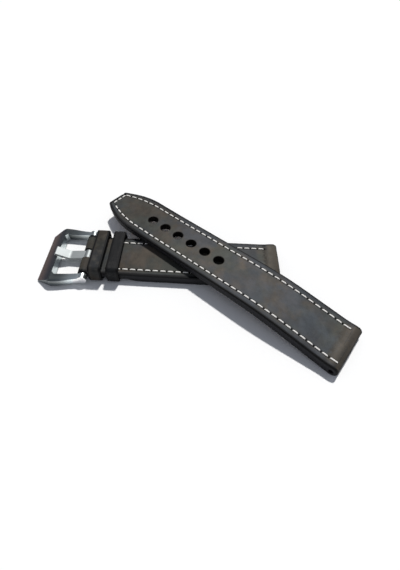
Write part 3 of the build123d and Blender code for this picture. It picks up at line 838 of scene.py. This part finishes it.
def keeper_loop(width, start, lift, k, seed):
    """Leather loop: a section with rounded edges carried round a rectangle with rounded corners. The
    outer face is a little crowned and uneven, and the underside has a furrow for its closing row."""
    wall, corner = k.wall / MM, (k.corner - k.wall / 2) / MM
    half_w, half_h = (k.inside_width + k.wall) / MM / 2, (k.inside_height + k.wall) / MM / 2
    corners = [(half_w, -half_h), (half_w, half_h), (-half_w, half_h), (-half_w, -half_h)]
    line = rounded_line([(0, -half_h), *corners, (0, -half_h)], [corner] * 4)
    length = run_length(line)
    spots = np.linspace(0, length[-1], 221)[:-1]
    py, pz = (np.interp(spots, length, line[:, axis]) for axis in (0, 1))
    dy, dz = (np.roll(along, -1) - np.roll(along, 1) for along in (py, pz))
    ny, nz = dz / np.hypot(dy, dz), -dy / np.hypot(dy, dz)
    rounding, turn = 0.3, np.linspace(0, pi / 2, 5)
    flat = np.linspace(rounding - width / 2, width / 2 - rounding, 17)
    right = np.stack([np.sin(turn), np.cos(turn)], -1) * rounding
    right += [width / 2 - rounding, wall / 2 - rounding]
    section = np.concatenate([
        np.stack([flat, np.full(17, wall / 2)], -1),
        right[1:],
        right[::-1] * [1, -1],
        np.stack([flat[::-4], np.full(5, -wall / 2)], -1)[1:-1],
        right * [-1, -1],
        (right[::-1] * [-1, 1])[:-1],
    ])
    sx, sn = section[:, 0][None], section[:, 1][None]
    face, middle = np.clip(sn / (wall / 2), 0, 1), 1 - (sx / (width / 2)) ** 2
    below = nz[:, None] < -0.9
    bumps = 0.05 * middle * (1 + ripple(spots[:, None], sx * 2, 9.0, seed))
    depth, seam_width, seam_half = CLOSING_FURROW
    seam = bell(sx, seam_width) * (np.abs(py) < seam_half)[:, None] * below
    out = sn + face * (bumps * (1 - below) - depth * seam)
    lean = 0.10 * ripple(spots[:, None], 0.0, 23.0, seed + 1.0) * np.clip(nz[:, None], 0, 1)
    x = start + width / 2 + sx + lean
    y = py[:, None] + ny[:, None] * out
    z = lift + wall / 2 + half_h + pz[:, None] + nz[:, None] * out
    x, y, z, rim = (np.concatenate([a, a[:, :1]], 1) for a in (x, y, z, width / 2 - np.abs(sx)))
    surface = Surface()
    surface.grid(x, y, z, None, True, outline=rim)
    return surface


# Materials


class Value:
    """A node's output that can be calculated with: each operator adds its Math node."""

    def __init__(self, nodes, socket):
        self.nodes, self.socket = nodes, socket

    def maths(self, operation, *others):
        made = self.nodes.node("ShaderNodeMath", {"operation": operation}, dict(enumerate(others)))
        return Value(self.nodes, made.outputs[0])

    def __add__(self, other):
        return self.maths("ADD", self, other)

    def __radd__(self, other):
        return self.maths("ADD", other, self)

    def __sub__(self, other):
        return self.maths("SUBTRACT", self, other)

    def __rsub__(self, other):
        return self.maths("SUBTRACT", other, self)

    def __mul__(self, other):
        return self.maths("MULTIPLY", self, other)

    def __rmul__(self, other):
        return self.maths("MULTIPLY", other, self)

    def __truediv__(self, other):
        return self.maths("DIVIDE", self, other)

    def __pow__(self, other):
        return self.maths("POWER", self, other)

    def __abs__(self):
        return self.maths("ABSOLUTE", self)

    def of(self, operation, *others):
        return self.maths(operation, self, *others)

    def step(self, start, end):
        """0 at start, 1 at end, smooth between; start may be the larger."""
        limits = {"Value": self, "From Min": start, "From Max": end}
        made = self.nodes.node("ShaderNodeMapRange", {"interpolation_type": "SMOOTHSTEP"}, limits)
        return Value(self.nodes, made.outputs["Result"])


class Nodes:
    """A node tree under construction, with one way to add a node."""

    def __init__(self, tree):
        self.tree = tree

    def set(self, node, key, value):
        value = value.socket if isinstance(value, Value) else value
        socket = node.inputs[key]
        if isinstance(value, bpy.types.NodeSocket):
            self.tree.links.new(value, socket)
        else:
            socket.default_value = (*value, 1) if socket.type == "RGBA" and len(value) == 3 else value

    def node(self, kind, settings=None, inputs=None):
        """A node of a type, its settings made first and then the values or links of its sockets."""
        made = self.tree.nodes.new(kind)
        for key, value in (settings or {}).items():
            setattr(made, key, value)
        for key, value in (inputs or {}).items():
            self.set(made, key, value)
        return made

    def axes(self, vector):
        """The three parts of a vector."""
        made = self.node("ShaderNodeSeparateXYZ", None, {"Vector": vector})
        return (Value(self, made.outputs[axis]) for axis in "XYZ")

    def mix(self, mask, first, second):
        """Colour that goes from first to second where mask goes from 0 to 1."""
        return self.node("ShaderNodeMix", {"data_type": "RGBA"}, {0: mask, 6: first, 7: second}).outputs[2]

    def scaled(self, colour, factor):
        """Colour times a value."""
        return self.node("ShaderNodeVectorMath", {"operation": "SCALE"}, {0: colour, 3: factor}).outputs[0]


class Finish(Nodes):
    """A material under construction."""

    def __init__(self, name, **settings):
        self.material = bpy.data.materials.new(name)
        self.material.use_nodes = True
        super().__init__(self.material.node_tree)
        self.shader = self.tree.nodes["Principled BSDF"]
        for key, value in settings.items():
            self.shade(key.replace("_", " ").title().replace("Ior", "IOR"), value)
        self.place = self.node("ShaderNodeTexCoord").outputs["Object"]

    def shade(self, key, value):
        self.set(self.shader, key, value)

    def noise(self, scale, detail, roughness=0.6, stretch=None):
        """Noise from 0 to 1 with so many cells to the metre, stretched where asked."""
        where = self.place
        if stretch:
            where = self.node("ShaderNodeMapping", None, {"Vector": where, "Scale": stretch}).outputs[0]
        inputs = {"Vector": where, "Scale": scale, "Detail": detail, "Roughness": roughness}
        return Value(self, self.node("ShaderNodeTexNoise", None, inputs).outputs["Fac"])

    def cells(self, scale):
        """Distance from the middles of cells, so many to the metre."""
        made = self.node("ShaderNodeTexVoronoi", None, {"Vector": self.place, "Scale": scale})
        return Value(self, made.outputs["Distance"])

    def stored(self, name):
        """A value stored on the piece's points."""
        return Value(self, self.node("ShaderNodeAttribute", {"attribute_name": name}).outputs["Fac"])

    def needle_holes(self, pitch, along, across, start, end):
        """1 at the needle holes of a row, whose pits have two radii, and 0 around them."""
        hole = abs(self.stored("row_place").of("FRACT") - 0.5) * pitch
        return ((hole / along) ** 2 + (self.stored("row_off") / across) ** 2).step(start, end)

    def bump(self, height, depth, strength):
        """Height from 0 to 1 that stands for a depth in metres."""
        inputs = {"Height": height, "Distance": depth, "Strength": strength}
        self.shade("Normal", self.node("ShaderNodeBump", None, inputs).outputs[0])


def leather(name, c, brightness, blue_share, pitch=None, wear_and_shade=None):
    """Waxed leather: patches of three browns and greys, fine grain, and black painted edges, with the
    face's rounded rim painted darker than the side walls as painted shade. The strap's two pieces are sewn
    and
    bear wear and painted shade: needle holes and sewn furrows painted dark as painted shade, a soft
    border, a browner, scuffed band beside the lug fold, a dark line beside it that is partly wear and
    partly painted shade, a painted shade band beyond it, painted shade on the lug fold and, on the short
    piece, beside the bar, and a fading towards the other end. Keepers have rubbed patches instead."""
    f = Finish(name, roughness=c.roughness, specular_ior_level=0.13)
    brown, green, blue, wear, edge, raw = (
        tuple(colour) for colour in (c.brown, c.green, c.blue, c.wear, c.edge, c.raw)
    )
    warm = f.noise(85, 4).step(0.38, 0.62)
    cold = (f.noise(60, 4, 0.6, (1.1, 0.9, 1)) + blue_share * 0.30).step(0.50, 0.72)
    cloud, fine, scuff = f.noise(420, 4), f.noise(2600, 3), f.noise(900, 4, 0.65)
    patch = f.noise(170, 4, 0.62, (1.0, 0.8, 1)).step(0.36, 0.66)
    base = f.mix(cold * 0.70, f.mix(warm, green, brown), blue)
    level = (0.42 + cloud * 0.66 + patch * 0.26 + fine * 0.26) * brightness
    outline = f.stored("outline")
    if wear_and_shade:
        fade_start, fade_end, fade_level = wear_and_shade["fade"]
        fold, off = f.stored("fold"), f.stored("row_off")
        far = fold.step(fade_start, fade_end)
        outline = outline - outline.step(0.0, 0.1) * far * 0.35
        band = (fold + cloud * 2).step(6.2, 4.2) * scuff.step(0.10, 0.60)
        # A dark line beside the lug fold, where the leather bends: partly scuffed wear, partly painted
        # shade
        shaded_crease = abs(fold - 4.6 + cloud * 1.5).step(1.5, 0.2) * scuff.step(0.25, 0.60)
        # Painted shade: a darker, bluer band a little beyond the lug fold
        shade_band = fold.step(6.0, 8.5) * fold.step(24.0, 13.0) * wear_and_shade["shaded_crease"]
        border = off.step(0.3, 2.0) * off.step(6.0, 4.0) * 0.30
        base = f.mix(shade_band, f.mix(band * 0.85, base, wear), blue)
        base = f.mix(border * 1.8, base, blue)
        level = level * (1 + far * (fade_level - 1)) * (1 - shaded_crease * wear_and_shade["shaded_crease"])
        # Painted shade on the lug fold, darkest where it turns away from the lamp
        level = level * (1 - fold.step(1.9, -0.1) * wear_and_shade["lug"]) * (1 - fold.step(-0.6, -1.8) * 0.80)
        # Painted shade in that band and along each sewn furrow, and the darker soft border
        level = level * (1 - shade_band * 0.30) * (1 - abs(off).step(1.1, 0.2) * 0.22) * (1 - border)
        # Painted shade: the needle holes are painted dark
        level = level * (1 - f.needle_holes(pitch, 0.46, 0.46, 1.7, 0.6) * 0.93)
        # Painted shade round the bar fold and beside the bar
        if wear_and_shade["bar"]:
            level = level * (1 - f.stored("bar").step(5.5, 1.5) * wear_and_shade["bar"])
    else:
        rubbed = f.noise(310, 3).step(0.44, 0.68)
        base = f.mix(rubbed * (0.6 - 0.4 * blue_share), base, wear)
        level = level * (0.82 + rubbed * 0.60)
    paint = (outline + (scuff - 0.5) * 0.3).step(1.05, 0.55)
    # Edge paint, darker on the rounded rim than on the side walls; that difference is painted shade
    painted = f.scaled(edge, 0.3 + outline.step(-0.05, -0.30) * 1.2)
    colour = f.mix(paint, f.scaled(base, level), painted)
    if wear_and_shade:
        colour = f.mix((f.stored("hole") + (fine - 0.5) * 0.1).step(0.30, 0.05), colour, raw)
    f.shade("Base Color", colour)
    f.shade("Roughness", c.roughness - 0.10 + cloud * 0.14 + fine * 0.06 - paint * 0.04)
    grain = f.cells(2300) * 0.55 + fine * 0.3 + cloud * 0.5
    f.bump(grain * (1 - paint * 0.7), 0.00012, 0.55)
    return f.material


def lining_leather(name, c, pitch):
    """Lining: plain brown leather with a short nap and fine pores, its edges painted."""
    f = Finish(name, roughness=0.8, specular_ior_level=0.25)
    cloud, fine = f.noise(160, 4), f.noise(3800, 3)
    pores = f.cells(2600).step(0.0, 0.35)
    level = (0.72 + cloud * 0.34 + fine * 0.22) * (0.86 + pores * 0.14)
    # Painted shade: the needle holes are painted dark
    level = level * (1 - f.needle_holes(pitch, 0.42, 0.36, 1.6, 0.5) * 0.8)
    paint = (f.stored("outline") + (cloud - 0.5) * 0.2).step(0.42, 0.16)
    colour = f.mix(paint, f.scaled(tuple(c.lining), level), tuple(c.edge))
    f.shade("Base Color", f.mix(f.stored("hole").step(0.22, 0.03), colour, tuple(c.raw)))
    f.shade("Roughness", 0.82 - paint * 0.3)
    f.bump(pores * 0.6 + fine * 0.4, 0.00008, 0.5)
    return f.material


def sewing_thread(name, c):
    """Waxed thread: strands twisted round each other show as slanting ridges along each stitch, painted
    lighter than the grooves between them, and each stitch's ends are painted dark where they dip into the
    needle holes: both painted shade.
    """
    f = Finish(name, roughness=0.55, specular_ior_level=0.4)
    along, around = f.stored("along"), f.stored("around")
    twist = (along * 9.0 + around).of("SINE") * 0.5 + 0.5
    dirt = f.noise(1800, 3)
    # Painted shade: the twist's ridges lighter than the grooves between strands, and each stitch's ends
    # dark where they dip into the needle holes
    level = (0.80 + twist * 0.16 + dirt * 0.10) * (1 - abs(along).step(1.02, 1.22) * 0.55)
    f.shade("Base Color", f.scaled(tuple(c.thread), level))
    f.shade("Roughness", 0.48 + dirt * 0.2)
    f.bump(twist, 0.00006, 0.6)
    return f.material


def paint_reflections(f, base, looks):
    """Painted reflections, highlights and shade on the frame, by the way its faces look: the front face is
    painted dark and brown, less a metal, and darker towards its top, a painted reflection of dark
    surroundings;
    near flanks get a painted highlight and far ones painted shade; the nose is painted darker, towards the
    bar the arms get a painted highlight, and faces turned towards the bar get a painted reflection. Gives
    the base colour and its level."""
    faced = f.node("ShaderNodeTexCoord").outputs["Normal"]
    ahead, aside, _ = f.axes(faced)
    along, across, height = f.axes(f.place)
    # Painted reflection of dark surroundings on the front face
    front = ahead.step(-0.22, -0.45) * abs(aside).step(0.6, 0.3)
    tone = f.mix(height.step(0.0012, 0.0036), tuple(looks.front_low), tuple(looks.front_high))
    f.shade("Specular IOR Level", 0.0)
    f.shade("Metallic", 1 - front * 0.75)
    bar_x, bar_y = BAR[0] * MM, BAR[1] * MM
    nose = along.step(bar_x - 0.003, bar_x - 0.012)
    rear = along.step(bar_x - 0.0095, bar_x - 0.0010)
    far = across.step(bar_y - 0.001, bar_y + 0.001)
    lit = 1 - far * height.step(0.0044, 0.0030)
    back = ahead.step(0.4, 0.8)
    # Painted highlights and shade: near flanks lighter, far ones and the nose darker, the arms lighter
    # towards the bar and faces turned towards the bar lighter still
    level = (1 + aside.step(-0.45, -0.9) * 0.8 * lit) * (1 - aside.step(0.35, 0.7) * 0.75)
    level = level * (1 - nose * 0.50 * (1 - front)) * (1 + rear * (1.6 - far * 0.8))
    level = level * (1 + back * (1 - far) * (1 - nose) * 0.3 + back * nose * 4.0)
    return f.mix(front, base, tone), level


def steel(name, colour, roughness, streaks, dirt, depth=0.00002, shaded=None):
    """Steel with fine brushed lines along one direction, and a cloudy film that dulls it; given looks for
    them, the frame's painted reflections, highlights and shade are laid over it.
    """
    f = Finish(name, metallic=1.0)
    lines, film = f.noise(1.0, 3, 0.6, streaks), f.noise(260, 3)
    marks = f.noise(1500, 4, 0.7).step(0.62, 0.72)
    base, level = tuple(colour), 0.86 + lines * 0.18 + film * dirt - marks * 0.06
    # The frame's painted reflections, highlights and shade
    if shaded:
        base, tone = paint_reflections(f, base, shaded)
        level = level * tone
    f.shade("Base Color", f.scaled(base, level))
    f.shade("Roughness", roughness + (lines - 0.5) * 0.12 + film * 0.08)
    f.bump(lines, depth, 0.5)
    return f.material


# Operators


def finished(piece, body, nodes):
    """Joins a piece to its body and hides the solids it stands for."""
    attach(piece, body)
    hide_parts(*nodes)


class StrapOperator:
    """What the steps of the strap share."""

    bl_options = {"REGISTER", "UNDO"}

    def settings(self):
        scene = bpy.context.scene
        return scene.strap_sizes, scene.strap_thread, scene.strap_keepers, scene.strap_colours

    def layers(self, strap, layer, place, brightness, blue_share, wear_and_shade):
        """Leather body and lining of one piece."""
        sizes, thread, _, colours = self.settings()
        pitch = thread.pitch / MM
        finish = leather("waxed leather, " + strap, colours, brightness, blue_share, pitch, wear_and_shade)
        body = layer(sizes, thread, "body").piece(strap + "_leather", place, finish)
        finished(body, strap + "_strap", [strap + "_outer_leather", strap + "_filler"])
        finish = lining_leather("lining, " + strap, colours, pitch)
        lining = layer(sizes, thread, "lining").piece(strap + "_lining", place, finish)
        finished(lining, strap + "_strap", [strap + "_lining_leather"])


class STRAP_OT_short_leather(StrapOperator, bpy.types.Operator):
    """Build the short piece's leather and lining"""

    bl_idname = "strap.short_leather"
    bl_label = "Short piece"

    def execute(self, context):
        self.layers("short", short_layer, short_place, 0.95, 0.0, SHORT_WEAR_AND_SHADE)
        return {"FINISHED"}


class STRAP_OT_long_leather(StrapOperator, bpy.types.Operator):
    """Build the long piece's leather and lining with their punched holes"""

    bl_idname = "strap.long_leather"
    bl_label = "Long piece"

    def execute(self, context):
        self.layers("long", long_layer, long_place, 0.938, 0.22, LONG_WEAR_AND_SHADE)
        return {"FINISHED"}


def row_frames(shape, spots, side, top):
    """Middles and directions of a row's stitches on the top or on the underside: along the row, across
    it and out of the leather."""
    reach, offset, heading = spots

    def height(distance):
        if isinstance(shape, ShortShape):
            return distance, (shape.ceiling if top else shape.floor)(distance)
        x, z = shape.at(distance)
        return x, z if top else shape.floor(x)

    x, z = height(reach)
    ahead_x, ahead_z = height(reach + 0.5)
    tilt, turn = np.arctan2(ahead_z - z, ahead_x - x), side * heading
    zero = np.zeros_like(x)
    forward = np.stack([np.cos(tilt), zero, np.sin(tilt)], -1)
    up = np.stack([-np.sin(tilt), zero, np.cos(tilt)], -1) * (1 if top else -1)
    along = forward * np.cos(turn)[:, None] + np.array([0, 1, 0]) * np.sin(turn)[:, None]
    middle = np.stack([x, side * offset, z], -1) - up * (0.07 if top else UNDER_SINK)
    return middle, along, np.cross(up, along), up


class STRAP_OT_stitches(StrapOperator, bpy.types.Operator):
    """Sew the rows along both pieces and across the tail"""

    bl_idname = "strap.stitches"
    bl_label = "Stitching"

    def execute(self, context):
        sizes, thread, _, colours = self.settings()
        cream = sewing_thread("waxed thread", colours)
        girth, length = thread.thickness / MM, thread.length / MM
        short, long = ShortShape(sizes, thread), LongShape(sizes, thread)
        for strap, shape, place, near_side in (
            ("short", short, short_place, -1),
            ("long", long, long_place, 1),
        ):
            for name, near in (("_near", True), ("_far", False)):
                surface, side = Surface(), near_side if near else -near_side
                for top in (True, False):
                    frames = row_frames(shape, shape.row.spots(near), side, top)
                    stitches(surface, frames, girth, length)
                    if strap == "long":
                        small = shape.row.spots(near, LUG_STITCH_BACK)
                        stitches(surface, row_frames(shape, small, side, top), girth, LUG_STITCH)
                row = surface.piece(strap + name + "_thread", place, cream, smooth=80)
                finished(row, strap + "_strap", [strap + name + "_stitching"])
        surface, zero = Surface(), np.zeros(3)
        for top in (True, False):
            spots = (zero + long.reach - TAIL_ROW, zero, zero)
            middle, along, across, up = row_frames(long, spots, 1, top)
            middle[:, 1] += (np.arange(3) - 1) * TAIL_PITCH
            stitches(surface, (middle, np.cross(along, up), along, up), girth, TAIL_STITCH)
        tail = surface.piece("long_tail_thread", long_place, cream, smooth=80)
        finished(tail, "long_strap", ["long_tail_stitching"])
        return {"FINISHED"}


class STRAP_OT_keepers(StrapOperator, bpy.types.Operator):
    """Build the fixed and the floating keeper with their closing stitches"""

    bl_idname = "strap.keepers"
    bl_label = "Keepers"

    def execute(self, context):
        _, thread, k, colours = self.settings()
        cream = sewing_thread("keeper thread", colours)
        one = np.ones((3, 1))
        for name, (start, lift, brightness, blue_share, seed, body) in KEEPERS.items():
            width = getattr(k, name) / MM
            finish = leather(name + " leather", colours, brightness, blue_share)
            loop = keeper_loop(width, start, lift, k, seed).piece(name + "_loop", short_place, finish)
            finished(loop, body, [name])
            middle = one * [start + width / 2, 0, lift + UNDER_SINK]
            middle[:, 1] = (np.arange(3) - 1) * CLOSING_PITCH
            closing = Surface()
            frames = (middle, one * [0, 1, 0], one * [1, 0, 0], one * [0, 0, -1])
            stitches(closing, frames, thread.thickness / MM, CLOSING_STITCH)
            sewn = closing.piece(name + "_thread", short_place, cream, smooth=80)
            finished(sewn, body, [name + "_stitches"])
        return {"FINISHED"}


class STRAP_OT_buckle(StrapOperator, bpy.types.Operator):
    """Give the buckle and the spring bar their steel"""

    bl_idname = "strap.buckle"
    bl_label = "Buckle"

    def execute(self, context):
        looks = context.scene.strap_steel
        bar = steel("bar steel", looks.bar, 0.5, (2500, 60, 2500), 0.2)
        finishes = {
            # The frame gets painted reflections, highlights and shade over its satin steel
            "buckle_frame": steel(
                "satin steel", looks.satin, 0.26, (60, 2500, 2500), 0.25, shaded=looks
            ),
            "buckle_tongue": steel(
                "polished steel", looks.polished, 0.55, (120, 3500, 3500), 0.1, 0.00001
            ),
            **{"spring_bar_" + part: bar for part in ("tube", "tip_near", "tip_far", "coil")},
        }
        for name, finish in finishes.items():
            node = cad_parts[name]
            if not node.material_slots:
                node.data.materials.append(finish)
            for slot in node.material_slots:
                slot.material = finish
        return {"FINISHED"}


class STRAP_OT_stage(StrapOperator, bpy.types.Operator):
    """Set up the floor, the lamps and the camera"""

    bl_idname = "strap.stage"
    bl_label = "Stage"

    def execute(self, context):
        scene, looks = context.scene, context.scene.strap_stage
        self.floor(looks)
        self.light(scene, looks)
        view = bpy.data.cameras.new("view")
        view.sensor_width, view.lens = SENSOR, FOCAL_PIXELS * SENSOR / VIEW_PIXELS
        view.clip_start, view.clip_end = 0.005, 20.0
        stand = bpy.data.objects.new("view", view)
        stand.location = BAR * MM + VIEW_SPOT
        stand.rotation_euler = Euler([radians(turn) for turn in VIEW_TURN])
        scene.collection.objects.link(stand)
        scene.camera = stand
        scene.view_settings.view_transform = "Standard"
        return {"FINISHED"}

    def floor(self, looks):
        """Pale floor, which the camera, reflections and clear things see as white."""
        surface = Surface()
        reach = np.linspace(-FLOOR_REACH, FLOOR_REACH, 3)
        surface.grid(reach[None], reach[:, None], FLOOR_LEVEL)
        f = Finish("pale floor", roughness=0.9, specular_ior_level=0.1)
        path = f.node("ShaderNodeLightPath").outputs
        seen = Value(f, path["Is Camera Ray"])
        for kind in ("Is Glossy Ray", "Is Transmission Ray"):
            seen = seen.of("MAXIMUM", Value(f, path[kind]))
        f.shade("Base Color", f.mix(seen, tuple(looks.floor), WHITE))
        surface.piece("floor", same_place, f.material, closed=False)

    def light(self, scene, looks):
        """One lamp, and a sky that is white at the horizon and dim above it."""
        lamp = bpy.data.lights.new("main_lamp", "SUN")
        lamp.energy, lamp.angle, lamp.color = looks.sun_strength, radians(4.0), looks.sun_colour
        held = bpy.data.objects.new("main_lamp", lamp)
        held.rotation_euler = Vector(LAMP_HEADING).to_track_quat("-Z", "Y").to_euler()
        scene.collection.objects.link(held)
        scene.world = bpy.data.worlds.new("soft_fill")
        scene.world.use_nodes = True
        sky = Nodes(scene.world.node_tree)
        sky.tree.nodes.clear()
        _, _, rise = sky.axes(sky.node("ShaderNodeTexCoord").outputs["Generated"])
        above = tuple(looks.sky_strength * part for part in looks.sky)
        colour = sky.mix(rise.step(0.04, 0.30), WHITE, above)
        shine = sky.node("ShaderNodeBackground", None, {"Color": colour}).outputs[0]
        sky.node("ShaderNodeOutputWorld", None, {"Surface": shine})


class STRAP_PT_panel(bpy.types.Panel):
    """Sizes, colours and steps of the strap"""

    bl_label = "Leather watch strap"
    bl_space_type = "VIEW_3D"
    bl_region_type = "UI"
    bl_category = "Strap"

    def draw(self, context):
        for step in STEPS:
            self.layout.operator(step.bl_idname)
        for name, group in GROUPS.items():
            box = self.layout.box()
            for field in group.__annotations__:
                box.prop(getattr(context.scene, name), field)


GROUPS = {
    "strap_sizes": StrapSizes,
    "strap_thread": ThreadSizes,
    "strap_keepers": KeeperSizes,
    "strap_colours": StrapColours,
    "strap_steel": SteelColours,
    "strap_stage": StageLooks,
}
STEPS = (
    STRAP_OT_stage,
    STRAP_OT_short_leather,
    STRAP_OT_long_leather,
    STRAP_OT_stitches,
    STRAP_OT_keepers,
    STRAP_OT_buckle,
)


def register():
    for kind in (*GROUPS.values(), *STEPS, STRAP_PT_panel):
        bpy.utils.register_class(kind)
    for name, group in GROUPS.items():
        setattr(bpy.types.Scene, name, bpy.props.PointerProperty(type=group))


def unregister():
    for name in GROUPS:
        delattr(bpy.types.Scene, name)
    for kind in (STRAP_PT_panel, *STEPS, *GROUPS.values()):
        bpy.utils.unregister_class(kind)


def main():
    """Builds everything in order."""
    register()
    bpy.ops.strap.stage()
    bpy.ops.strap.short_leather()
    bpy.ops.strap.long_leather()
    bpy.ops.strap.stitches()
    bpy.ops.strap.keepers()
    bpy.ops.strap.buckle()


if __name__ == "__main__":
    main()
